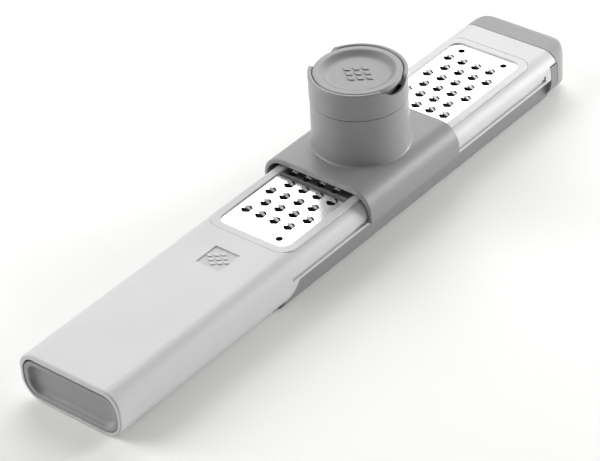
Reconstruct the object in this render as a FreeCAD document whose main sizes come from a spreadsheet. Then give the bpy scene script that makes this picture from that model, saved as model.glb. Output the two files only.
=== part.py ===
"""Slim hand grater with a sliding food holder, as a parametric FreeCAD document.

The grater lies on its back face with +Z up and +X from the handle to the tip. The origin is on the
resting plane, halfway along the length and on the centre line. Millimetres.
"""

import FreeCAD, Part
import Sketcher
import os

doc = FreeCAD.newDocument("slim_hand_grater")

# ---------------------------------------------------------------- driving dimensions
SIZES = {
    # the long body: a hollow handle that runs on into an open frame
    "overall_length": 313,
    "body_width": 54,
    "body_height": 23.0,
    "body_corner": 8,
    "body_low_corner": 10,
    "body_wall": 2.2,
    "end_rounding": 0.8,
    "handle_length": 110.6,
    "handle_rake": 9.6,
    "handle_hollow_length": 97,
    "heel": 3,
    "heel_slope": 6,
    "frame_length": 299.5,
    "frame_underside": 11.6,
    "frame_inner_width": 48.8,
    "frame_lip_width": 46.8,
    "frame_lip_top": 13.1,
    "frame_ceiling": 20.0,
    "frame_cavity_end": 296.6,
    "notch_length": 5,
    "notch_top": 18.4,
    "running_gap": 0.3,
    "fit_gap": 0.15,
    "over": 1,  # how far a cutter stands past what it cuts
    "root": 0.2,  # how far an added shape sinks into what it stands on
    # the rail grooves that carry the food holder
    "groove_start": 106.5,
    "groove_end": 290.6,
    "groove_low": 12.9,
    "groove_high": 15.0,
    "groove_depth": 1.2,
    "slot_length": 1.6,
    "slot_height": 1.9,
    # the grating window, its bezel and the plate
    "window_start": 112.2,
    "window_end": 283.4,
    "window_width": 37,
    "window_corner": 4.5,
    "bezel_margin": 3.9,
    "bezel_depth": 1.2,
    "bezel_lip": 0.7,
    "bezel_corner": 7,
    "bezel_rounding": 0.25,
    "ledge_width": 3.2,
    "plate_margin": 2.3,
    "plate_thickness": 0.5,
    # the cutting teeth: six-sided holes, each crossed by a peaked Z-shaped blade
    "tooth_first": 126.2,
    "tooth_rows": 19,
    "tooth_columns": 4,
    "tooth_pitch_along": 8.05,
    "tooth_pitch_across": 7.7,
    "hole_length": 5.9,
    "hole_width": 4.4,
    "hole_side": 3.1,
    "blade_width": 1.15,
    "blade_offset": 0.35,
    "blade_peak": 1.35,
    "blade_peak_side": 0.25,
    "blade_foot_side": 0.95,
    "blade_root": 0.3,
    "blade_slope_start": 0.5,
    "blade_sheet": 0.6,
    "blade_foot_width": 0.3,
    "blade_foot_rise": 0.05,
    "edge_row_side": 1.75,
    "inner_row_side": 1.25,
    "locating_hole": 3.3,
    "locating_inset": 4.8,
    "locating_side": 11.7,
    # the square mark on the handle and its small raised lozenges
    "mark_centre": 91.4,
    "mark_side": 13.1,
    "mark_depth": 0.5,
    "mark_corner": 0.4,
    "lozenge_length": 3.0,
    "lozenge_width": 1.9,
    "lozenge_pitch": 3.7,
    "lozenge_rise": 0.4,
    "lozenge_step_along": 0.5,
    "lozenge_step_across": 0.62,
    "disc_mark_scale": 1.35,
    # the soft cap in the handle's end, and the hard plug behind it
    "cap_width": 50.4,
    "cap_low": 1.95,
    "cap_high": 19.2,
    "cap_corner": 5.4,
    "cap_low_corner": 8,
    "cap_depth": 4,
    "cap_set_back": 0.25,
    "cap_rim": 2.8,
    "cap_rim_high": 1.9,
    "cap_dish": 2.3,
    "cap_bed_rounding": 1.8,
    "cap_rim_rounding": 0.8,
    "plug_length": 9,
    "plug_wall": 1.8,
    # the catch tray under the frame
    "tray_width": 46,
    "tray_belly_width": 48.2,
    "tray_top": 17.8,
    "tray_wall": 1.6,
    "tray_floor": 1.6,
    "tray_gap": 0.5,
    "tray_shoulder_gap": 0.5,
    "tray_edge": 2.4,
    "tray_flange_width": 48.2,
    "tray_flange_low": 13.4,
    "tray_flange_high": 14.9,
    "tray_flange_start": 122,
    "tray_front": 294.8,
    # the soft tip on the front of the tray
    "tip_start": 299.65,
    "tip_corner": 12.8,
    "tip_rounding": 2.6,
    "tip_cutter_start": 260,
    "tip_peg": 6,
    "tip_peg_length": 3,
    "tip_peg_spacing": 26,
    "tip_peg_height": 9,
    "tip_peg_room": 0.3,
    # the carriage: a saddle over the frame, with the food cup
    "cup_centre": 188.5,
    "saddle_length": 64,
    "saddle_width": 58.6,
    "saddle_top": 27.9,
    "saddle_bottom": 13.45,
    "saddle_corner": 10.4,
    "saddle_wall": 1.4,
    "saddle_ceiling": 25.8,
    "saddle_lip_rounding": 0.6,
    "rib_inset": 1.3,
    "rib_thickness": 1.5,
    "rib_low": 24.3,
    "rib_width": 48,
    "hook_thickness": 1.1,
    "hook_reach": 26.1,
    "cup_base_radius": 21.75,
    "cup_radius": 21.35,
    "cup_bore": 19.4,
    "cup_top": 50.9,
    "cup_fillet": 0.8,
    "skirt_radius": 20.8,
    "skirt_bottom": 24.5,
    "spigot_radius": 20.55,
    "spigot_top": 58.5,
    "bayonet_low": 52.0,
    "bayonet_height": 1.6,
    "bayonet_depth": 0.6,
    "bayonet_lug_angle": 10,
    "bayonet_play": 3,
    "bayonet_turn": 30,
    "bayonet_count": 3,
    # the collar that turns on the cup, with two finger notches
    "collar_gap": 0.45,
    "collar_radius": 21.6,
    "collar_top": 63.8,
    "collar_bore": 20.65,
    "collar_mouth": 19.85,
    "collar_lip": 18.25,
    "collar_lip_low": 60.4,
    "collar_lip_high": 61.6,
    "collar_rounding": 0.6,
    "notch_width": 18,
    "notch_depth": 4.3,
    "key_width": 2.4,
    "key_reach": 18.9,
    # the pusher
    "cap_disc_radius": 19.6,
    "cap_disc_low": 61.8,
    "cap_disc_top": 63.6,
    "cap_puck_depth": 2.4,
    "dish_radius": 16.6,
    "dish_floor_radius": 13.7,
    "dish_depth": 2.0,
    "dish_lip_rounding": 2.2,
    "dish_bed_rounding": 5,
    "sleeve_radius": 18,
    "sleeve_bore": 16.2,
    "sleeve_bottom": 27.9,
    "flange_radius": 19.1,
    "flange_thickness": 1.5,
    "spike_disc_radius": 16.1,
    "spike_disc_thickness": 2,
    "spike_tip": 25.0,
    "spike_root_radius": 1.1,
    "spike_root": 0.2,
    "spike_taper": 14,
    "spike_pitch": 6.4,
}

sheet = doc.addObject("Spreadsheet::Sheet", "sizes")
sheet.Label = "sizes"
for row, (alias, value) in enumerate(SIZES.items(), start=1):
    sheet.set(f"A{row}", alias)
    sheet.set(f"B{row}", str(value))
    sheet.setAlias(f"B{row}", alias)
doc.recompute()


# ---------------------------------------------------------------- small helpers
LEAST_CHANGE = 1e-6


def named(expression):
    """An expression on the sheet's aliases, written with bare alias names."""
    words = []
    word = ""
    for letter in expression + " ":
        if letter.isalnum() or letter in "_.":
            word += letter
            continue
        words.append(f"sizes.{word}" if word in SIZES else word)
        words.append(letter)
        word = ""
    return "".join(words).strip()


def value_of(expression):
    """The number that an expression on the sheet has now."""
    result = sheet.evalExpression(named(expression))
    return float(getattr(result, "Value", result))


def bind(feature, prop, expression):
    """Bind a property of a feature to the sheet."""
    feature.setExpression(prop, named(expression))


def new_body(label, centre_x):
    """An empty body whose local X starts at centre_x, measured from the handle's end."""
    body = doc.addObject("PartDesign::Body", label)
    body.Label = label
    bind(body, ".Placement.Base.x", f"{centre_x} - overall_length / 2")
    return body


def sketch_on(body, plane, offset="0", turn=None):
    """A sketch on one of the body's own origin planes, moved along its normal.

    turn, in degrees, swings the plane about the sketch's own vertical.
    """
    sketch = body.newObject("Sketcher::SketchObject", f"{body.Name}_sketch")
    role = f"{plane}_Plane"
    support = [f for f in body.Origin.OriginFeatures if f.Role == role][0]
    sketch.AttachmentSupport = (support, [""])
    sketch.MapMode = "FlatFace"
    if turn:
        upright = FreeCAD.Rotation(FreeCAD.Vector(0, 1, 0), value_of(turn))
        sketch.AttachmentOffset = FreeCAD.Placement(FreeCAD.Vector(0, 0, 0), upright)
        bind(sketch, ".AttachmentOffset.Rotation.Angle", turn)
    bind(sketch, ".AttachmentOffset.Base.z", offset)
    return sketch


def place_point(sketch, geometry, point, across, up):
    """Hold one point of a sketch at two sheet expressions."""
    for kind, expression in (("DistanceX", across), ("DistanceY", up)):
        index = sketch.addConstraint(Sketcher.Constraint(kind, geometry, point, value_of(expression)))
        bind(sketch, f"Constraints[{index}]", expression)


def draw_polygon(sketch, corners):
    """A closed outline of straight lines through corners given as sheet expressions."""
    spots = [FreeCAD.Vector(value_of(a), value_of(b), 0) for a, b in corners]
    first = sketch.GeometryCount
    count = len(spots)
    for i in range(count):
        sketch.addGeometry(Part.LineSegment(spots[i], spots[(i + 1) % count]))
    for i in range(count):
        sketch.addConstraint(
            Sketcher.Constraint("Coincident", first + i, 2, first + (i + 1) % count, 1)
        )
    for i, (across, up) in enumerate(corners):
        place_point(sketch, first + i, 1, across, up)


def draw_rectangle(sketch, left, right, low, high):
    """A rectangle between four sheet expressions."""
    draw_polygon(sketch, [(left, low), (right, low), (right, high), (left, high)])


def draw_circle(sketch, across, up, radius):
    """A circle with its centre and radius bound to the sheet."""
    centre = FreeCAD.Vector(value_of(across), value_of(up), 0)
    index = sketch.addGeometry(
        Part.Circle(centre, FreeCAD.Vector(0, 0, 1), value_of(radius))
    )
    place_point(sketch, index, 3, across, up)
    held = sketch.addConstraint(Sketcher.Constraint("Radius", index, value_of(radius)))
    bind(sketch, f"Constraints[{held}]", radius)


def draw_rounded(sketch, left, right, low, high, radius, low_radius=None):
    """A rectangle with round corners, all bound to the sheet.

    The two lower corners take low_radius where it is given.
    """
    radii = [low_radius or radius, radius, radius, low_radius or radius]
    x_low, x_high, y_low, y_high = (value_of(e) for e in (left, right, low, high))
    bottom, top = value_of(radii[0]), value_of(radii[1])
    sizes_now = [bottom, top, top, bottom]
    first = sketch.GeometryCount
    quarter = FreeCAD.Units.parseQuantity("90 deg").getValueAs("rad").Value
    lines = [
        ((x_low + bottom, y_low), (x_high - bottom, y_low)),
        ((x_high, y_low + bottom), (x_high, y_high - top)),
        ((x_high - top, y_high), (x_low + top, y_high)),
        ((x_low, y_high - top), (x_low, y_low + bottom)),
    ]
    centres = [
        (x_high - bottom, y_low + bottom),
        (x_high - top, y_high - top),
        (x_low + top, y_high - top),
        (x_low + bottom, y_low + bottom),
    ]
    for i in range(4):
        start, end = lines[i]
        sketch.addGeometry(Part.LineSegment(FreeCAD.Vector(*start, 0), FreeCAD.Vector(*end, 0)))
        centre = FreeCAD.Vector(*centres[i], 0)
        circle = Part.Circle(centre, FreeCAD.Vector(0, 0, 1), sizes_now[i])
        sketch.addGeometry(Part.ArcOfCircle(circle, (i - 1) * quarter, i * quarter))
    for i in range(4):
        line = first + 2 * i
        arc = line + 1
        following = first + (2 * i + 2) % 8
        sketch.addConstraint(Sketcher.Constraint("Tangent", line, 2, arc, 1))
        sketch.addConstraint(Sketcher.Constraint("Tangent", arc, 2, following, 1))
        sketch.addConstraint(Sketcher.Constraint("Horizontal" if i % 2 == 0 else "Vertical", line))
        held = sketch.addConstraint(Sketcher.Constraint("Radius", arc, sizes_now[i]))
        bind(sketch, f"Constraints[{held}]", radii[i])
    sides = [
        ("DistanceY", 0, low),
        ("DistanceX", 2, right),
        ("DistanceY", 4, high),
        ("DistanceX", 6, left),
    ]
    for kind, side, expression in sides:
        held = sketch.addConstraint(
            Sketcher.Constraint(kind, first + side, 1, value_of(expression))
        )
        bind(sketch, f"Constraints[{held}]", expression)


def finish_feature(body, feature):
    """Recompute, and stop with the feature's name if it failed."""
    doc.recompute()
    if "Invalid" in feature.State or "Error" in feature.State or feature.Shape.isNull():
        raise RuntimeError(f"{feature.Name} in {body.Label} failed")
    return feature


def pad(body, sketch, length, both_sides=False, backwards=False):
    """Add a prism on the sketch."""
    feature = body.newObject("PartDesign::Pad", f"{body.Name}_pad")
    feature.Profile = sketch
    bind(feature, "Length", length)
    feature.Midplane = both_sides
    feature.Reversed = backwards
    return finish_feature(body, feature)


def pocket(body, sketch, length, both_sides=False, forwards=False):
    """Cut a prism on the sketch, and make sure that it removed something."""
    before = body.Tip.Shape.Volume
    feature = body.newObject("PartDesign::Pocket", f"{body.Name}_pocket")
    feature.Profile = sketch
    bind(feature, "Length", length)
    feature.Midplane = both_sides
    feature.Reversed = forwards
    finish_feature(body, feature)
    if feature.Shape.Volume > before - LEAST_CHANGE:
        raise RuntimeError(f"{feature.Name} in {body.Label} cut nothing")
    return feature


def turned(body, sketch, kind="PartDesign::Revolution", angle="360"):
    """Revolve a sketch about the body's Z axis, evenly to both sides, adding or cutting."""
    before = body.Tip.Shape.Volume if body.Tip else 0
    feature = body.newObject(kind, f"{body.Name}_turned")
    feature.Profile = sketch
    feature.ReferenceAxis = (sketch, ["V_Axis"])
    feature.Midplane = angle != "360"
    bind(feature, "Angle", angle)
    finish_feature(body, feature)
    if abs(feature.Shape.Volume - before) < LEAST_CHANGE:
        raise RuntimeError(f"{feature.Name} in {body.Label} changed nothing")
    return feature


def round_edges(body, radius, wanted):
    """Fillet every edge of the body's last feature that wanted(edge) picks."""
    base = body.Tip
    names = [f"Edge{i}" for i, e in enumerate(base.Shape.Edges, start=1) if wanted(e)]
    if not names:
        raise RuntimeError(f"no edge to round on {body.Label}")
    feature = body.newObject("PartDesign::Fillet", f"{body.Name}_fillet")
    feature.Base = (base, names)
    bind(feature, "Radius", radius)
    return finish_feature(body, feature)


def origin_feature(body, role):
    """One of the body's own origin axes or planes."""
    return [f for f in body.Origin.OriginFeatures if f.Role == role][0]


def row_of(body, role, length, count, backwards):
    """A linear pattern transformation, for use inside a grid."""
    step = body.newObject("PartDesign::LinearPattern", f"{body.Name}_row")
    step.Direction = (origin_feature(body, role), [""])
    step.Reversed = backwards
    bind(step, "Length", length)
    bind(step, "Occurrences", count)
    return step


def grid(body, feature, steps):
    """Repeat a feature over the steps, which are (axis role, length, count, backwards)."""
    whole = body.newObject("PartDesign::MultiTransform", f"{body.Name}_grid")
    whole.Originals = [feature]
    whole.Transformations = [row_of(body, *step) for step in steps]
    body.Tip = whole
    return finish_feature(body, whole)


def around(body, features, count):
    """Repeat features evenly about the body's Z axis."""
    pattern = body.newObject("PartDesign::PolarPattern", f"{body.Name}_around")
    pattern.Originals = features
    pattern.Axis = (origin_feature(body, "Z_Axis"), [""])
    pattern.Angle = 360
    bind(pattern, "Occurrences", count)
    body.Tip = pattern
    return finish_feature(body, pattern)


def mirrored(body, features, plane):
    """Mirror features across one of the body's origin planes."""
    copy = body.newObject("PartDesign::Mirrored", f"{body.Name}_mirrored")
    copy.Originals = features
    copy.MirrorPlane = (origin_feature(body, f"{plane}_Plane"), [""])
    body.Tip = copy
    return finish_feature(body, copy)


def in_plane(edge, axis, place, reach=1e-4):
    """True if the whole edge lies at that place along axis x, y or z."""
    box = edge.BoundBox
    low = getattr(box, axis.upper() + "Min")
    high = getattr(box, axis.upper() + "Max")
    return abs(low - place) < reach and abs(high - place) < reach


def circle_edge(edge, radius, height, reach=1e-3):
    """True if the edge is an arc about the Z axis with that radius and height."""
    if not isinstance(edge.Curve, Part.Circle):
        return False
    centre = edge.Curve.Center
    on_axis = abs(centre.x) < reach and abs(centre.y) < reach
    return on_axis and abs(edge.Curve.Radius - radius) < reach and abs(centre.z - height) < reach


def draw_lozenge(sketch, across, up, scale):
    """One small lozenge of the plain mark, its long diagonal along the sketch's Y."""
    draw_polygon(
        sketch,
        [
            (f"{across} - lozenge_width / 2 * {scale}", up),
            (across, f"{up} - lozenge_length / 2 * {scale}"),
            (f"{across} + lozenge_width / 2 * {scale}", up),
            (across, f"{up} + lozenge_length / 2 * {scale}"),
        ],
    )


def draw_lozenges(sketch, centre, scale):
    """A diamond of nine lozenges about a centre on the sketch's X."""
    for row in range(-1, 2):
        for column in range(-1, 2):
            along = f"({row} + {column}) * lozenge_pitch * lozenge_step_along * {scale}"
            across = f"({column} - {row}) * lozenge_pitch * lozenge_step_across * {scale}"
            draw_lozenge(sketch, f"{centre} + {along}", across, scale)


def draw_body_section(sketch):
    """The outline that the handle, the tray's front wall and the tip share."""
    draw_rounded(
        sketch,
        "-body_width / 2",
        "body_width / 2",
        "0",
        "body_height",
        "body_corner",
        "body_low_corner",
    )


# ---------------------------------------------------------------- handle and frame, one moulding
def make_handle_body():
    """The hollow handle, running on into the open frame that carries the plate and the rails."""
    body = new_body("handle_body", "0")
    section = sketch_on(body, "YZ")
    draw_body_section(section)
    pad(body, section, "frame_length")
    round_edges(body, "end_rounding", lambda e: in_plane(e, "x", 0))

    # the lower half is cut away beyond the handle, with a raked shoulder
    lower = sketch_on(body, "XZ")
    draw_polygon(
        lower,
        [
            ("handle_length - handle_rake * (1 + over / frame_underside)", "-over"),
            ("frame_length + over", "-over"),
            ("frame_length + over", "frame_underside"),
            ("handle_length", "frame_underside"),
        ],
    )
    pocket(body, lower, "body_width + 2 * over", both_sides=True)

    # the side walls stop short of the frame's top at the far end
    notch = sketch_on(body, "XZ")
    draw_rectangle(
        notch, "frame_length - notch_length", "frame_length + over", "frame_underside - over", "notch_top"
    )
    pocket(body, notch, "body_width + 2 * over", both_sides=True)

    # the handle's hollow, open at its end
    hollow = sketch_on(body, "YZ")
    draw_rounded(
        hollow,
        "-body_width / 2 + body_wall",
        "body_width / 2 - body_wall",
        "body_wall",
        "body_height - body_wall",
        "body_corner - body_wall",
        "body_low_corner - body_wall",
    )
    pocket(body, hollow, "handle_hollow_length", forwards=True)

    # the seat of the end cap, a little wider than the hollow
    seat = sketch_on(body, "YZ", "-over")
    draw_rounded(
        seat,
        "-cap_width / 2 - fit_gap",
        "cap_width / 2 + fit_gap",
        "cap_low - fit_gap",
        "cap_high + fit_gap",
        "cap_corner + fit_gap",
        "cap_low_corner + fit_gap",
    )
    pocket(body, seat, "cap_depth + cap_set_back + over", forwards=True)

    # the channel under the plate, where the tray runs, with an inward lip along each side
    channel = sketch_on(body, "XZ")
    draw_polygon(
        channel,
        [
            ("handle_length + heel", "frame_underside - over"),
            ("frame_length + over", "frame_underside - over"),
            ("frame_length + over", "frame_lip_top"),
            ("handle_length + heel", "frame_lip_top"),
        ],
    )
    pocket(body, channel, "frame_lip_width", both_sides=True)
    upper = sketch_on(body, "XZ")
    draw_polygon(
        upper,
        [
            ("handle_length + heel", "frame_lip_top"),
            ("frame_length + over", "frame_lip_top"),
            ("frame_length + over", "notch_top"),
            ("frame_cavity_end", "notch_top"),
            ("frame_cavity_end", "frame_ceiling"),
            ("handle_length + heel + heel_slope", "frame_ceiling"),
        ],
    )
    pocket(body, upper, "frame_inner_width", both_sides=True)

    # the window, and the shallow seat of the bezel round it
    window = sketch_on(body, "XY", "frame_ceiling - over")
    draw_rounded(
        window,
        "window_start - bezel_margin + ledge_width",
        "window_end + bezel_margin - ledge_width",
        "-window_width / 2 - bezel_margin + ledge_width",
        "window_width / 2 + bezel_margin - ledge_width",
        "window_corner",
    )
    pocket(body, window, "body_height", forwards=True)
    rebate = sketch_on(body, "XY", "body_height - bezel_depth")
    draw_rounded(
        rebate,
        "window_start - bezel_margin - fit_gap",
        "window_end + bezel_margin + fit_gap",
        "-window_width / 2 - bezel_margin - fit_gap",
        "window_width / 2 + bezel_margin + fit_gap",
        "bezel_corner + fit_gap",
    )
    pocket(body, rebate, "bezel_depth + over", forwards=True)

    # the rail groove along each side, and the slot through its far end
    groove = sketch_on(body, "XZ", "body_width / 2 - groove_depth")
    draw_rectangle(groove, "groove_start", "groove_end", "groove_low", "groove_high")
    groove_cut = pocket(body, groove, "groove_depth + over", forwards=True)
    slot = sketch_on(body, "XZ", "frame_inner_width / 2 - over")
    draw_rectangle(
        slot,
        "groove_end - slot_length",
        "groove_end",
        "groove_high - slot_height / 2",
        "groove_high + slot_height / 2",
    )
    slot_cut = pocket(body, slot, "body_width / 4", forwards=True)
    mirrored(body, [groove_cut, slot_cut], "XZ")

    # the square mark: a shallow recess with raised lozenges
    mark = sketch_on(body, "XY", "body_height - mark_depth")
    draw_rounded(
        mark,
        "mark_centre - mark_side / 2",
        "mark_centre + mark_side / 2",
        "-mark_side / 2",
        "mark_side / 2",
        "mark_corner",
    )
    pocket(body, mark, "mark_depth + over", forwards=True)
    signs = sketch_on(body, "XY", "body_height - mark_depth - root")
    draw_lozenges(signs, "mark_centre", "1")
    pad(body, signs, "lozenge_rise + root")
    return body


# ---------------------------------------------------------------- bezel and plate
def make_plate_bezel():
    """The flat frame that clamps the plate's margin into the body."""
    body = new_body("plate_bezel", "0")
    outline = sketch_on(body, "XY", "body_height - bezel_depth")
    draw_rounded(
        outline,
        "window_start - bezel_margin",
        "window_end + bezel_margin",
        "-window_width / 2 - bezel_margin",
        "window_width / 2 + bezel_margin",
        "bezel_corner",
    )
    draw_rounded(
        outline,
        "window_start",
        "window_end",
        "-window_width / 2",
        "window_width / 2",
        "window_corner",
    )
    pad(body, outline, "bezel_depth")
    seat = sketch_on(body, "XY", "body_height - bezel_depth - over")
    draw_rounded(
        seat,
        "window_start - plate_margin - fit_gap",
        "window_end + plate_margin + fit_gap",
        "-window_width / 2 - plate_margin - fit_gap",
        "window_width / 2 + plate_margin + fit_gap",
        "window_corner + fit_gap",
    )
    pocket(body, seat, "bezel_depth - bezel_lip + over", forwards=True)
    top = value_of("body_height")
    round_edges(body, "bezel_rounding", lambda e: in_plane(e, "z", top))
    return body


def add_teeth(body, first, count, side_shift):
    """One staggered set of holes and blades: every second row, four across."""
    top = "body_height - bezel_lip"
    edge = f"tooth_pitch_across * {side_shift}"
    along = f"tooth_pitch_along * 2 * ({count} - 1)"
    across = "tooth_pitch_across * (tooth_columns - 1)"
    steps = [
        ("X_Axis", along, count, False),
        ("Y_Axis", across, "tooth_columns", True),
    ]
    blade = sketch_on(body, "YZ", f"{first} + blade_offset - blade_width / 2")
    reach = "hole_width / 2 + blade_root"
    draw_polygon(
        blade,
        [
            (f"{edge} - {reach}", f"{top} - plate_thickness"),
            (f"{edge} - {reach} + blade_slope_start", f"{top} - plate_thickness"),
            (f"{edge} + blade_peak_side", f"{top} + blade_peak - blade_sheet"),
            (f"{edge} + blade_foot_side", f"{top} - plate_thickness"),
            (f"{edge} + {reach}", f"{top} - plate_thickness"),
            (f"{edge} + {reach}", top),
            (f"{edge} + blade_foot_side + blade_foot_width", f"{top} + blade_foot_rise"),
            (f"{edge} + blade_peak_side", f"{top} + blade_peak"),
            (f"{edge} - {reach}", top),
        ],
    )
    hole = sketch_on(body, "XY", f"{top} - plate_thickness - over")
    draw_polygon(
        hole,
        [
            (f"{first} - hole_length / 2", edge),
            (f"{first} - hole_side / 2", f"{edge} - hole_width / 2"),
            (f"{first} + hole_side / 2", f"{edge} - hole_width / 2"),
            (f"{first} + hole_length / 2", edge),
            (f"{first} + hole_side / 2", f"{edge} + hole_width / 2"),
            (f"{first} - hole_side / 2", f"{edge} + hole_width / 2"),
        ],
    )
    hole_cut = pocket(body, hole, "plate_thickness + 2 * over", forwards=True)
    grid(body, hole_cut, steps)
    blade_pad = pad(body, blade, "blade_width")
    grid(body, blade_pad, steps)


def make_grating_plate():
    """The thin steel plate with its field of teeth and three locating holes."""
    body = new_body("grating_plate", "0")
    outline = sketch_on(body, "XY", "body_height - bezel_lip - plate_thickness")
    draw_rounded(
        outline,
        "window_start - plate_margin",
        "window_end + plate_margin",
        "-window_width / 2 - plate_margin",
        "window_width / 2 + plate_margin",
        "window_corner",
    )
    spots = [
        ("window_start + locating_inset", "-locating_side"),
        ("window_end - locating_inset", "-locating_side"),
        ("window_end - locating_inset", "locating_side"),
    ]
    for along, side in spots:
        draw_circle(outline, along, side, "locating_hole / 2")
    pad(body, outline, "plate_thickness")
    add_teeth(body, "tooth_first", "(tooth_rows + 1) / 2", "edge_row_side")
    second = "(tooth_first + tooth_pitch_along)"
    add_teeth(body, second, "(tooth_rows - 1) / 2", "inner_row_side")
    return body


# ---------------------------------------------------------------- the handle's end
def make_end_cap():
    """The soft dished cap in the handle's end."""
    body = new_body("end_cap", "0")
    outline = sketch_on(body, "YZ", "cap_set_back")
    draw_rounded(
        outline,
        "-cap_width / 2",
        "cap_width / 2",
        "cap_low",
        "cap_high",
        "cap_corner",
        "cap_low_corner",
    )
    pad(body, outline, "cap_depth")
    place = value_of("cap_set_back")
    dish = sketch_on(body, "YZ", "cap_set_back")
    draw_rounded(
        dish,
        "-cap_width / 2 + cap_rim",
        "cap_width / 2 - cap_rim",
        "cap_low + cap_rim_high",
        "cap_high - cap_rim_high",
        "cap_corner - cap_rim_high",
        "cap_low_corner - cap_rim_high",
    )
    pocket(body, dish, "cap_dish", forwards=True)
    deep = place + value_of("cap_dish")
    round_edges(body, "cap_bed_rounding", lambda e: in_plane(e, "x", deep))
    round_edges(body, "cap_rim_rounding", lambda e: in_plane(e, "x", place))
    return body


def make_end_plug():
    """The hard plug behind the soft cap, a cup-shaped push fit in the hollow."""
    body = new_body("end_plug", "0")
    inside = "(body_wall + fit_gap)"
    outline = sketch_on(body, "YZ", "cap_set_back + cap_depth")
    sides = [
        f"-body_width / 2 + {inside}",
        f"body_width / 2 - {inside}",
        inside,
        f"body_height - {inside}",
    ]
    draw_rounded(outline, *sides, f"body_corner - {inside}", f"body_low_corner - {inside}")
    pad(body, outline, "plug_length")
    core = sketch_on(body, "YZ", "cap_set_back + cap_depth + plug_wall")
    draw_rounded(
        core,
        f"-body_width / 2 + {inside} + plug_wall",
        f"body_width / 2 - {inside} - plug_wall",
        f"{inside} + plug_wall",
        f"body_height - {inside} - plug_wall",
        f"body_corner - {inside} - plug_wall",
        f"body_low_corner - {inside} - plug_wall",
    )
    pocket(body, core, "plug_length", forwards=True)
    return body


# ---------------------------------------------------------------- tray and tip
def make_catch_tray():
    """The tray under the frame. It hangs on two flanges and draws out past the tip."""
    body = new_body("catch_tray", "0")
    rake = "handle_rake / frame_underside"
    foot = "(handle_length - handle_rake + tray_gap)"
    back = f"({foot} + heel)"
    shoulder = "(frame_underside - tray_shoulder_gap)"

    # the belly below the frame, with its lower edges well rounded
    belly = sketch_on(body, "XZ")
    draw_polygon(
        belly,
        [
            (foot, "0"),
            ("tray_front + over", "0"),
            ("tray_front + over", shoulder),
            (f"{foot} + {rake} * {shoulder}", shoulder),
        ],
    )
    pad(body, belly, "tray_belly_width", both_sides=True)
    half = value_of("tray_belly_width / 2")

    def bottom_side(edge):
        return in_plane(edge, "z", 0) and (
            in_plane(edge, "y", half) or in_plane(edge, "y", -half)
        )

    round_edges(body, "tray_edge", bottom_side)

    # the neck that stands up between the frame's lips, and its two flanges
    neck = sketch_on(body, "XZ")
    draw_polygon(
        neck,
        [
            (f"{back} + {rake} * {shoulder}", f"{shoulder} - root"),
            ("tray_front + over", f"{shoulder} - root"),
            ("tray_front + over", "tray_top"),
            (f"{back} + {rake} * tray_top", "tray_top"),
        ],
    )
    pad(body, neck, "tray_width", both_sides=True)
    flange = sketch_on(body, "XZ")
    draw_rectangle(
        flange, "tray_flange_start", "tray_front + over", "tray_flange_low", "tray_flange_high"
    )
    pad(body, flange, "tray_flange_width", both_sides=True)

    # the front wall has the body's own section up to the underside of the frame's end
    front = sketch_on(body, "YZ", "tray_front")
    draw_body_section(front)
    pad(body, front, "tip_start - fit_gap - tray_front")
    above = sketch_on(body, "XZ")
    draw_rectangle(above, "tray_front - over", "tip_start", "tray_top", "body_height + over")
    pocket(body, above, "body_width + 2 * over", both_sides=True)

    # the trough's inside
    inside = sketch_on(body, "XZ")
    draw_polygon(
        inside,
        [
            (f"{back} + {rake} * tray_floor + tray_wall", "tray_floor"),
            ("tray_front", "tray_floor"),
            ("tray_front", "tray_top + over"),
            (f"{back} + {rake} * (tray_top + over) + tray_wall", "tray_top + over"),
        ],
    )
    pocket(body, inside, "tray_width - 2 * tray_wall", both_sides=True)

    # blind holes for the tip's two pegs
    holes = sketch_on(body, "YZ", "tip_start + over")
    for side in (-1, 1):
        across = f"{side} * tip_peg_spacing / 2"
        draw_circle(holes, across, "tip_peg_height", "tip_peg / 2 + fit_gap")
    pocket(body, holes, "over + tip_peg_length + tip_peg_room")
    return body


def make_tray_tip():
    """The soft tip on the tray's front wall, held by two pegs."""
    body = new_body("tray_tip", "0")
    section = sketch_on(body, "YZ", "tip_start")
    draw_body_section(section)
    pad(body, section, "overall_length - tip_start")

    # the plan corners are rounded by cutting away all that lies outside a rounded plan
    plan = sketch_on(body, "XY", "-over")
    draw_rectangle(
        plan,
        "tip_cutter_start - over",
        "overall_length + over",
        "-body_width",
        "body_width",
    )
    draw_rounded(
        plan,
        "tip_cutter_start",
        "overall_length",
        "-body_width / 2",
        "body_width / 2",
        "tip_corner",
    )
    pocket(body, plan, "body_height + 2 * over", forwards=True)

    # the end's upper and lower edges are rounded in the same way, seen from the side
    profile = sketch_on(body, "XZ")
    draw_rectangle(
        profile,
        "tip_cutter_start - over",
        "overall_length + over",
        "-over",
        "body_height + over",
    )
    draw_rounded(
        profile, "tip_cutter_start", "overall_length", "0", "body_height", "tip_rounding"
    )
    pocket(body, profile, "body_width + 2 * over", both_sides=True)
    pegs = sketch_on(body, "YZ", "tip_start + root")
    for side in (-1, 1):
        across = f"{side} * tip_peg_spacing / 2"
        draw_circle(pegs, across, "tip_peg_height", "tip_peg / 2")
    pad(body, pegs, "root + tip_peg_length", backwards=True)
    return body


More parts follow.
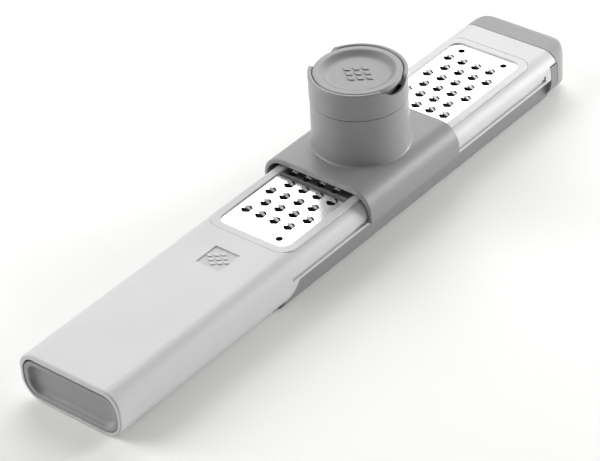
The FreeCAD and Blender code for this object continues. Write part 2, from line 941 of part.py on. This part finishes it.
# ---------------------------------------------------------------- carriage
def make_carriage():
    """The saddle that rides the frame, with the food cup standing on it."""
    body = new_body("carriage", "cup_centre")
    outer = sketch_on(body, "YZ")
    draw_rectangle(
        outer, "-saddle_width / 2", "saddle_width / 2", "saddle_bottom", "saddle_top"
    )
    pad(body, outer, "saddle_length", both_sides=True)
    top = value_of("saddle_top")
    side = value_of("saddle_width / 2")

    def long_top(edge):
        return in_plane(edge, "z", top) and (in_plane(edge, "y", side) or in_plane(edge, "y", -side))

    round_edges(body, "saddle_corner", long_top)
    end = value_of("saddle_length / 2")
    low = value_of("saddle_bottom")

    def outer_rim(edge):
        at_end = in_plane(edge, "x", end) or in_plane(edge, "x", -end)
        return at_end and not in_plane(edge, "z", low)

    round_edges(body, "saddle_lip_rounding", outer_rim)

    # the tunnel for the frame
    tunnel = sketch_on(body, "YZ")
    draw_rounded(
        tunnel,
        "-saddle_width / 2 + saddle_wall",
        "saddle_width / 2 - saddle_wall",
        "-over",
        "saddle_ceiling",
        "saddle_corner - saddle_wall",
    )
    pocket(body, tunnel, "saddle_length + 2 * over", both_sides=True)

    # a cross rib under each end, which wipes the frame and closes the gap over the plate
    rib = sketch_on(body, "XZ")
    draw_rectangle(
        rib,
        "saddle_length / 2 - rib_inset - rib_thickness",
        "saddle_length / 2 - rib_inset",
        "rib_low",
        "saddle_ceiling + root",
    )
    rib_pad = pad(body, rib, "rib_width", both_sides=True)
    mirrored(body, [rib_pad], "YZ")

    # hooks turned in along both lower edges, which run in the frame's grooves
    hook = sketch_on(body, "YZ")
    draw_rectangle(
        hook,
        "hook_reach",
        "saddle_width / 2 - saddle_wall / 2",
        "saddle_bottom",
        "saddle_bottom + hook_thickness",
    )
    hook_pad = pad(body, hook, "saddle_length", both_sides=True)
    mirrored(body, [hook_pad], "XZ")

    # the cup, with a skirt down to the plate and a spigot for the collar
    cup = sketch_on(body, "XZ")
    draw_polygon(
        cup,
        [
            ("cup_bore", "skirt_bottom"),
            ("skirt_radius", "skirt_bottom"),
            ("skirt_radius", "saddle_ceiling + root"),
            ("cup_base_radius", "saddle_ceiling + root"),
            ("cup_base_radius", "saddle_top"),
            ("cup_radius", "cup_top"),
            ("spigot_radius", "cup_top"),
            ("spigot_radius", "spigot_top"),
            ("cup_bore", "spigot_top"),
        ],
    )
    turned(body, cup)
    bore = sketch_on(body, "XY", "skirt_bottom - over")
    draw_circle(bore, "0", "0", "cup_bore")
    pocket(body, bore, "spigot_top - skirt_bottom + 2 * over", forwards=True)
    base = value_of("cup_base_radius")
    round_edges(body, "cup_fillet", lambda e: circle_edge(e, base, top))

    # three bayonet slots in the spigot: a level run, and an entry from above where it ends
    depth = "spigot_radius - bayonet_depth - fit_gap"
    width = "(bayonet_lug_angle + 2 * bayonet_play)"
    run = sketch_on(body, "XZ", turn="bayonet_turn / 2")
    draw_rectangle(
        run,
        depth,
        "spigot_radius + root",
        "bayonet_low - running_gap",
        "bayonet_low + bayonet_height + running_gap",
    )
    run_cut = turned(body, run, "PartDesign::Groove", f"bayonet_turn + {width}")
    entry = sketch_on(body, "XZ", turn="bayonet_turn")
    draw_rectangle(entry, depth, "spigot_radius + root", "bayonet_low", "spigot_top + over")
    entry_cut = turned(body, entry, "PartDesign::Groove", width)
    around(body, [run_cut, entry_cut], "bayonet_count")
    return body


def make_cup_collar():
    """The ring that turns on the cup's spigot, with two finger notches and an inner lip."""
    body = new_body("cup_collar", "cup_centre")
    ring = sketch_on(body, "XZ")
    draw_polygon(
        ring,
        [
            ("collar_bore", "cup_top + collar_gap"),
            ("collar_radius", "cup_top + collar_gap"),
            ("collar_radius", "collar_top"),
            ("collar_mouth", "collar_top"),
            ("collar_mouth", "collar_lip_high"),
            ("collar_lip", "collar_lip_high"),
            ("collar_lip", "collar_lip_low"),
            ("collar_bore", "collar_lip_low"),
        ],
    )
    turned(body, ring)

    # two finger notches, one on each side, cut by one scoop across the ring
    scoop = sketch_on(body, "XZ")
    scoop_radius = "(notch_width ^ 2 / 4 + notch_depth ^ 2) / (2 * notch_depth)"
    draw_circle(scoop, "0", f"collar_top - notch_depth + {scoop_radius}", scoop_radius)
    pocket(body, scoop, "2 * (collar_radius + over)", both_sides=True)
    top = value_of("collar_top")
    round_edges(
        body,
        "collar_rounding",
        lambda e: in_plane(e, "z", top) and isinstance(e.Curve, Part.Circle),
    )

    # key slots in the lip keep the pusher from turning
    keyway = sketch_on(body, "XY", "collar_lip_low - over")
    draw_rectangle(
        keyway,
        "-key_reach - running_gap",
        "key_reach + running_gap",
        "-key_width / 2 - running_gap",
        "key_width / 2 + running_gap",
    )
    pocket(body, keyway, "collar_lip_high - collar_lip_low + 2 * over", forwards=True)

    # bayonet lugs
    lug = sketch_on(body, "XZ")
    draw_rectangle(
        lug,
        "spigot_radius - bayonet_depth",
        "collar_bore + root",
        "bayonet_low",
        "bayonet_low + bayonet_height",
    )
    lug_add = turned(body, lug, angle="bayonet_lug_angle")
    around(body, [lug_add], "bayonet_count")
    return body


# ---------------------------------------------------------------- pusher
def make_pusher_cap():
    """The dished thumb disc, with a puck below it that plugs the sleeve."""
    body = new_body("pusher_cap", "cup_centre")
    disc = sketch_on(body, "XZ")
    draw_polygon(
        disc,
        [
            ("0", "cap_disc_low - cap_puck_depth"),
            ("sleeve_bore - fit_gap", "cap_disc_low - cap_puck_depth"),
            ("sleeve_bore - fit_gap", "cap_disc_low"),
            ("cap_disc_radius", "cap_disc_low"),
            ("cap_disc_radius", "cap_disc_top"),
            ("dish_radius", "cap_disc_top"),
            ("dish_floor_radius", "cap_disc_top - dish_depth"),
            ("0", "cap_disc_top - dish_depth"),
        ],
    )
    turned(body, disc)
    top = value_of("cap_disc_top")
    floor = value_of("cap_disc_top - dish_depth")
    rim = value_of("cap_disc_radius")
    lip = value_of("dish_radius")
    bed = value_of("dish_floor_radius")
    round_edges(body, "collar_rounding", lambda e: circle_edge(e, rim, top))
    round_edges(body, "dish_lip_rounding", lambda e: circle_edge(e, lip, top))
    round_edges(body, "dish_bed_rounding", lambda e: circle_edge(e, bed, floor))
    signs = sketch_on(body, "XY", "cap_disc_top - dish_depth - root")
    draw_lozenges(signs, "0", "disc_mark_scale")
    pad(body, signs, "lozenge_rise + root")
    return body


def make_pusher_sleeve():
    """The pusher's tube, with the foot flange that the collar's lip stops, and two keys."""
    body = new_body("pusher_sleeve", "cup_centre")
    tube = sketch_on(body, "XZ")
    draw_polygon(
        tube,
        [
            ("sleeve_bore", "sleeve_bottom"),
            ("flange_radius", "sleeve_bottom"),
            ("flange_radius", "sleeve_bottom + flange_thickness"),
            ("sleeve_radius", "sleeve_bottom + flange_thickness"),
            ("sleeve_radius", "cap_disc_low"),
            ("sleeve_bore", "cap_disc_low"),
        ],
    )
    turned(body, tube)
    key = sketch_on(body, "XY", "sleeve_bottom")
    draw_rectangle(key, "sleeve_radius - root", "key_reach", "-key_width / 2", "key_width / 2")
    key_pad = pad(body, key, "cap_disc_low - sleeve_bottom")
    mirrored(body, [key_pad], "YZ")
    return body


def make_spike_plate():
    """The gripping foot: a disc that closes the sleeve, with a cluster of moulded spikes."""
    body = new_body("spike_plate", "cup_centre")
    disc = sketch_on(body, "XY", "sleeve_bottom")
    draw_circle(disc, "0", "0", "spike_disc_radius")
    pad(body, disc, "spike_disc_thickness")

    # spikes on a triangular lattice, out to two steps from the middle
    roots = sketch_on(body, "XY", "sleeve_bottom + spike_root")
    for row in range(-2, 3):
        for column in range(-2, 3):
            if abs(row + column) <= 2:
                across = f"spike_pitch * ({column} + {row} / 2)"
                draw_circle(roots, across, f"spike_pitch * {row} * sqrt(3) / 2", "spike_root_radius")
    spikes = pad(body, roots, "sleeve_bottom + spike_root - spike_tip", backwards=True)
    bind(spikes, "TaperAngle", "-spike_taper")
    finish_feature(body, spikes)
    return body


MAKERS = [
    make_handle_body,
    make_plate_bezel,
    make_grating_plate,
    make_end_cap,
    make_end_plug,
    make_catch_tray,
    make_tray_tip,
    make_carriage,
    make_cup_collar,
    make_pusher_cap,
    make_pusher_sleeve,
    make_spike_plate,
]


def check_document(parts):
    """Stop unless every object recomputed and every part is one valid solid or more."""
    for item in doc.Objects:
        if "Invalid" in item.State or "Error" in item.State:
            raise RuntimeError(f"{item.Name} did not recompute")
    for part in parts:
        if part.Shape.isNull() or not part.Shape.isValid() or not part.Shape.Solids:
            raise RuntimeError(f"{part.Label} has no valid shape")


def main():
    """Build every part, check the document and write one STEP file a part."""
    parts = [make() for make in MAKERS]
    doc.recompute()
    check_document(parts)
    os.makedirs("parts", exist_ok=True)
    for part in parts:
        part.Shape.exportStep(f"parts/{part.Label}.step")
        box = part.Shape.BoundBox
        print(f"{part.Label}: {len(part.Shape.Solids)} solid, {part.Shape.Volume:.0f} mm3, {box}")


main()
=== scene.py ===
"""Looks of the slim hand grater: materials, floor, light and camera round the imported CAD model."""
import math

import bpy
import numpy as np
from mathutils import Matrix, Vector


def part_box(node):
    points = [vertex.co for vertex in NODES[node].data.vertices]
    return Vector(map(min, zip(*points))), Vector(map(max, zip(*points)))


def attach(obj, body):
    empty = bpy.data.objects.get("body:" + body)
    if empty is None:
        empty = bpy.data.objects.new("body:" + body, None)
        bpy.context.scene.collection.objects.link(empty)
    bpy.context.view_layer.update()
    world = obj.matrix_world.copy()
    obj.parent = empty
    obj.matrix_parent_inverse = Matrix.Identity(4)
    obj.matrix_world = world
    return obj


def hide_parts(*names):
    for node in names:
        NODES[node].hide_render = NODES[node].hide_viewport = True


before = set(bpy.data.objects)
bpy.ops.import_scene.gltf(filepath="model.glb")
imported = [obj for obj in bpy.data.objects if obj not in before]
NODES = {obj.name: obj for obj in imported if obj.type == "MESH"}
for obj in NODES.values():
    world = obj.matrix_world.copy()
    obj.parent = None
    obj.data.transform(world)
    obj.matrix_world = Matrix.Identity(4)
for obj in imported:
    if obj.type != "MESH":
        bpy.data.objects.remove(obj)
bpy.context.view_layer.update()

scene = bpy.context.scene

# ---------------------------------------------------------------- sizes of the surface detail
# noise scales are in cells a metre, and depths in metres
PLASTIC_CLOUDS = 38
PLASTIC_GLOSS = 260
PLASTIC_RIPPLE = 90
PLASTIC_RIPPLE_DEPTH = 0.00002
PLASTIC_GRAIN = 3600
PLASTIC_GRAIN_DEPTH = 0.00001
RUBBER_CLOUDS = 60
RUBBER_GLOSS = 500
RUBBER_GRAIN = 2400
RUBBER_GRAIN_DEPTH = 0.00004
STEEL_STREAKS = (60, 5200, 5200)
STEEL_STREAK_DEPTH = 0.000004

# the floor of the square mark, which is a little darker than the handle
MARK_LOW = (-0.0719, -0.0068, 0.0222)
MARK_HIGH = (-0.0583, 0.0068, 0.0226)
MARK_TONE = 0.86

# only the ground blades stand above the plate's upper face
PLATE_TOP = 0.0223
# above this rise the steel is made less metallic, so the blades read paler: a painted highlight on
# their tops
BLADE_RISE = 0.00015
BLADE_HIGHLIGHT_METALLIC = 0.35

# the soft tip's remeshing, and how its smoothing sets in beyond the parting face
TIP_VOXEL = 0.0005
TIP_ROUNDS = 26
TIP_CRISP = 0.0006
TIP_BLEND = 0.0022

# ---------------------------------------------------------------- node helpers


def new_material(name):
    """A node material with an empty tree but for its shader and output."""
    material = bpy.data.materials.new(name)
    material.use_nodes = True
    tree = material.node_tree
    shader = tree.nodes["Principled BSDF"]
    return material, tree, shader


def add_node(tree, kind, **sockets):
    """A node with some of its input values set, by socket name."""
    node = tree.nodes.new(kind)
    for name, value in sockets.items():
        node.inputs[name.replace("_", " ")].default_value = value
    return node


def stretched_place(tree, scale):
    """Object coordinates times a scale for each axis."""
    place = tree.nodes.new("ShaderNodeTexCoord")
    mapping = tree.nodes.new("ShaderNodeMapping")
    mapping.inputs["Scale"].default_value = scale
    tree.links.new(place.outputs["Object"], mapping.inputs["Vector"])
    return mapping.outputs["Vector"]


def noise(tree, scale, detail=2.0, roughness=0.5, stretch=(1, 1, 1)):
    """Noise over the object, scale in cells per metre."""
    node = add_node(tree, "ShaderNodeTexNoise", Scale=scale, Detail=detail, Roughness=roughness)
    tree.links.new(stretched_place(tree, stretch), node.inputs["Vector"])
    return node.outputs["Fac"]


def ranged(tree, source, low, high, from_low=0.3, from_high=0.7):
    """A factor mapped from its usual spread onto low to high."""
    node = add_node(tree, "ShaderNodeMapRange")
    for index, value in enumerate((from_low, from_high, low, high), start=1):
        node.inputs[index].default_value = value
    tree.links.new(source, node.inputs["Value"])
    return node.outputs["Result"]


def varied_colour(tree, shader, colour, spread, source):
    """The base colour, a little lighter and darker where source is."""
    mix = tree.nodes.new("ShaderNodeMix")
    mix.data_type = "RGBA"
    low = [c * (1 - spread) for c in colour]
    high = [min(1, c * (1 + spread)) for c in colour]
    mix.inputs["A"].default_value = (*low, 1)
    mix.inputs["B"].default_value = (*high, 1)
    tree.links.new(ranged(tree, source, 0, 1), mix.inputs["Factor"])
    tree.links.new(mix.outputs["Result"], shader.inputs["Base Color"])


def bumped(tree, shader, sources):
    """Chain bumps, each a (factor, depth in metres) pair, into the shader's normal."""
    normal = None
    for source, depth in sources:
        bump = add_node(tree, "ShaderNodeBump", Strength=1.0, Distance=depth)
        tree.links.new(source, bump.inputs["Height"])
        if normal:
            tree.links.new(normal, bump.inputs["Normal"])
        normal = bump.outputs["Normal"]
    tree.links.new(normal, shader.inputs["Normal"])


def within(tree, low, high, soft=0.00004):
    """A factor that is 1 inside a box of object coordinates, in metres, and 0 outside it."""
    place = tree.nodes.new("ShaderNodeTexCoord")
    split = tree.nodes.new("ShaderNodeSeparateXYZ")
    tree.links.new(place.outputs["Object"], split.inputs["Vector"])
    factor = None
    for axis in range(3):
        for edge, start, end in ((low[axis], -soft, 0), (high[axis], soft, 0)):
            side = ranged(tree, split.outputs[axis], 0, 1, edge + start, edge + end)
            if factor:
                both = tree.nodes.new("ShaderNodeMath")
                both.operation = "MULTIPLY"
                tree.links.new(factor, both.inputs[0])
                tree.links.new(side, both.inputs[1])
                side = both.outputs["Value"]
            factor = side
    return factor


def toned(tree, shader, factor, tone):
    """Multiply the linked base colour by tone where factor is 1."""
    mix = tree.nodes.new("ShaderNodeMix")
    mix.data_type = "RGBA"
    mix.blend_type = "MULTIPLY"
    tree.links.new(shader.inputs["Base Color"].links[0].from_socket, mix.inputs["A"])
    mix.inputs["B"].default_value = (tone, tone, tone, 1)
    tree.links.new(factor, mix.inputs["Factor"])
    tree.links.new(mix.outputs["Result"], shader.inputs["Base Color"])


def moulded_plastic(name, colour, roughness):
    """Moulded plastic: a fine spark-eroded grain, faint flow clouds and uneven gloss."""
    material, tree, shader = new_material(name)
    clouds = noise(tree, PLASTIC_CLOUDS, detail=3)
    varied_colour(tree, shader, colour, 0.018, clouds)
    gloss = noise(tree, PLASTIC_GLOSS, detail=4)
    tree.links.new(
        ranged(tree, gloss, roughness - 0.035, roughness + 0.035), shader.inputs["Roughness"]
    )
    grain = noise(tree, PLASTIC_GRAIN, detail=3, roughness=0.6)
    ripple = noise(tree, PLASTIC_RIPPLE, detail=1)
    bumped(tree, shader, [(ripple, PLASTIC_RIPPLE_DEPTH), (grain, PLASTIC_GRAIN_DEPTH)])
    return material


def soft_rubber(name, colour, roughness):
    """Soft-touch rubber: matt, with a coarser grain and a trace of sheen."""
    material, tree, shader = new_material(name)
    clouds = noise(tree, RUBBER_CLOUDS, detail=4)
    varied_colour(tree, shader, colour, 0.03, clouds)
    gloss = noise(tree, RUBBER_GLOSS, detail=3)
    tree.links.new(
        ranged(tree, gloss, roughness - 0.05, roughness + 0.05), shader.inputs["Roughness"]
    )
    grain = noise(tree, RUBBER_GRAIN, detail=4, roughness=0.65)
    bumped(tree, shader, [(grain, RUBBER_GRAIN_DEPTH)])
    shader.inputs["Sheen Weight"].default_value = 0.08
    shader.inputs["Sheen Roughness"].default_value = 0.5
    shader.inputs["Specular IOR Level"].default_value = 0.35
    return material


def brushed_steel(name, colour, roughness):
    """Rolled stainless steel, grained along the plate. Its ground blades are made less metallic and
    so paler than the sheet, which is a painted highlight on the blades' tops.
    """
    material, tree, shader = new_material(name)
    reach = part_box("grating_plate")[1]
    highlight_low = (-reach[0], -reach[1], PLATE_TOP + BLADE_RISE)
    highlight_high = (reach[0], reach[1], 2 * reach[2])
    blade_highlight = within(tree, highlight_low, highlight_high)
    # painted highlight: the blades above the plate get less metallic steel, so they read paler than
    # the sheet
    tree.links.new(ranged(tree, blade_highlight, 1.0, BLADE_HIGHLIGHT_METALLIC, 0, 1), shader.inputs["Metallic"])
    streaks = noise(tree, 1, detail=4, roughness=0.6, stretch=STEEL_STREAKS)
    varied_colour(tree, shader, colour, 0.02, streaks)
    tree.links.new(
        ranged(tree, streaks, roughness - 0.03, roughness + 0.04), shader.inputs["Roughness"]
    )
    bumped(tree, shader, [(streaks, STEEL_STREAK_DEPTH)])
    return material


def dress(node_name, material):
    """Give a CAD node one material."""
    mesh = NODES[node_name].data
    mesh.materials.clear()
    mesh.materials.append(material)


light_plastic = moulded_plastic("light_plastic", (0.55, 0.55, 0.555), 0.42)
mark_tree = light_plastic.node_tree
toned(
    mark_tree,
    mark_tree.nodes["Principled BSDF"],
    within(mark_tree, MARK_LOW, MARK_HIGH),
    MARK_TONE,
)
holder_plastic = moulded_plastic("holder_plastic", (0.25, 0.25, 0.252), 0.38)
tray_plastic = moulded_plastic("tray_plastic", (0.225, 0.225, 0.227), 0.45)
grip_rubber = soft_rubber("grip_rubber", (0.295, 0.295, 0.297), 0.62)
plate_steel = brushed_steel("plate_steel", (0.88, 0.88, 0.89), 0.17)

for node_name, material in {
    "handle_body": light_plastic,
    "plate_bezel": light_plastic,
    "grating_plate": plate_steel,
    "end_cap": grip_rubber,
    "end_plug": tray_plastic,
    "catch_tray": tray_plastic,
    "tray_tip": grip_rubber,
    "carriage": holder_plastic,
    "cup_collar": holder_plastic,
    "pusher_cap": holder_plastic,
    "pusher_sleeve": tray_plastic,
    "spike_plate": tray_plastic,
}.items():
    dress(node_name, material)

# ---------------------------------------------------------------- the soft tip


def soft_tip():
    """The tray's rubber tip as a soft moulding, its edges melted round but for the parting face."""
    source = NODES["tray_tip"].data
    start = max(v.co.x for v in NODES["handle_body"].data.vertices) + TIP_CRISP
    tip = bpy.data.objects.new("soft_tip", source.copy())
    scene.collection.objects.link(tip)
    remesh = tip.modifiers.new("remesh", "REMESH")
    remesh.mode = "VOXEL"
    remesh.voxel_size = TIP_VOXEL
    layer = bpy.context.evaluated_depsgraph_get()
    mesh = bpy.data.meshes.new_from_object(tip.evaluated_get(layer))
    tip.modifiers.clear()
    tip.data = mesh
    mesh.name = "soft_tip"

    count = len(mesh.vertices)
    spots = np.empty(count * 3)
    mesh.vertices.foreach_get("co", spots)
    spots = spots.reshape(count, 3)
    edges = np.empty(len(mesh.edges) * 2, dtype=int)
    mesh.edges.foreach_get("vertices", edges)
    edges = edges.reshape(-1, 2)
    joined = np.bincount(edges.ravel(), minlength=count)
    weight = np.clip((spots[:, 0] - start) / TIP_BLEND, 0, 1)[:, None]
    for _ in range(TIP_ROUNDS):
        total = np.zeros_like(spots)
        np.add.at(total, edges[:, 0], spots[edges[:, 1]])
        np.add.at(total, edges[:, 1], spots[edges[:, 0]])
        spots += weight * (total / joined[:, None] - spots) / 2
    mesh.vertices.foreach_set("co", spots.ravel())
    mesh.shade_smooth()
    mesh.materials.clear()
    mesh.materials.append(grip_rubber)
    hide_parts("tray_tip")
    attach(tip, "tray")


# ---------------------------------------------------------------- floor, light and camera
scene.view_settings.view_transform = "Standard"

FLOOR_HALF = 3.0
FLOOR_HEIGHT = -0.0002
FLOOR_COLOUR = (0.90, 0.895, 0.88, 1)
WORLD_STRENGTH = 0.20

# name, place, target, size in metres and power in watts
PANELS = [
    ("left_panel", (-0.75, 0.95, 0.75), (0, 0, 0.02), 1.0, 10.8),
    ("back_panel", (1.15, 1.0, 1.15), (0, 0, 0), 1.5, 21.6),
    ("far_panel", (1.25, 0.1, 0.55), (0.1, 0, 0.02), 0.9, 4.2),
    ("low_right_panel", (1.05, -0.6, 0.3), (0.1, 0, 0.02), 0.6, 16),
    ("near_right_panel", (0.1, -1.1, 0.3), (0, 0, 0.01), 0.8, 2),
    ("low_left_panel", (-0.35, 0.8, 0.3), (0.03, 0, 0.03), 0.5, 3),
]

# the camera's place in metres, its turns in degrees, its lens and sensor in millimetres
CAMERA_PLACE = (-0.66947, -0.57652, 0.63245)
CAMERA_HEADING = 41.276
CAMERA_DOWN = 35.643
CAMERA_ROLL = -4.166
CAMERA_LENS = 150.54
SENSOR_WIDTH = 36


def make_floor():
    """A plain pale floor under the object."""
    mesh = bpy.data.meshes.new("floor")
    corners = [(-1, -1), (1, -1), (1, 1), (-1, 1)]
    mesh.from_pydata(
        [(x * FLOOR_HALF, y * FLOOR_HALF, FLOOR_HEIGHT) for x, y in corners], [], [(0, 1, 2, 3)]
    )
    floor = bpy.data.objects.new("floor", mesh)
    scene.collection.objects.link(floor)
    material, _, shader = new_material("pale_floor")
    shader.inputs["Base Color"].default_value = FLOOR_COLOUR
    shader.inputs["Roughness"].default_value = 0.9
    shader.inputs["Specular IOR Level"].default_value = 0.1
    mesh.materials.append(material)


def area_light(name, place, target, size, power):
    """A square soft light at place, aimed at target."""
    data = bpy.data.lights.new(name, "AREA")
    data.shape = "SQUARE"
    data.size = size
    data.energy = power
    light = bpy.data.objects.new(name, data)
    light.location = place
    light.rotation_mode = "QUATERNION"
    light.rotation_quaternion = (Vector(target) - Vector(place)).to_track_quat("-Z", "Y")
    scene.collection.objects.link(light)


def make_world(strength):
    """Even white light from all round."""
    world = bpy.data.worlds.new("studio")
    world.use_nodes = True
    background = world.node_tree.nodes["Background"]
    background.inputs["Color"].default_value = (1, 1, 1, 1)
    background.inputs["Strength"].default_value = strength
    scene.world = world


def make_camera(place, heading, down, roll, lens):
    """The camera at place, looking along a heading from +X towards +Y and down, turned by roll."""
    forward = Vector(
        (math.cos(down) * math.cos(heading), math.cos(down) * math.sin(heading), -math.sin(down))
    )
    level = forward.cross(Vector((0, 0, 1))).normalized()
    upright = level.cross(forward)
    right = level * math.cos(roll) + upright * math.sin(roll)
    up = upright * math.cos(roll) - level * math.sin(roll)
    turn = Matrix((right, up, -forward)).transposed()
    data = bpy.data.cameras.new("camera")
    data.lens = lens
    data.sensor_width = SENSOR_WIDTH
    data.clip_start = 0.05
    data.clip_end = 20
    camera = bpy.data.objects.new("camera", data)
    camera.matrix_world = Matrix.Translation(place) @ turn.to_4x4()
    scene.collection.objects.link(camera)
    scene.camera = camera


soft_tip()
make_floor()
make_world(WORLD_STRENGTH)
for panel in PANELS:
    area_light(*panel)
make_camera(
    Vector(CAMERA_PLACE),
    math.radians(CAMERA_HEADING),
    math.radians(CAMERA_DOWN),
    math.radians(CAMERA_ROLL),
    CAMERA_LENS,
)
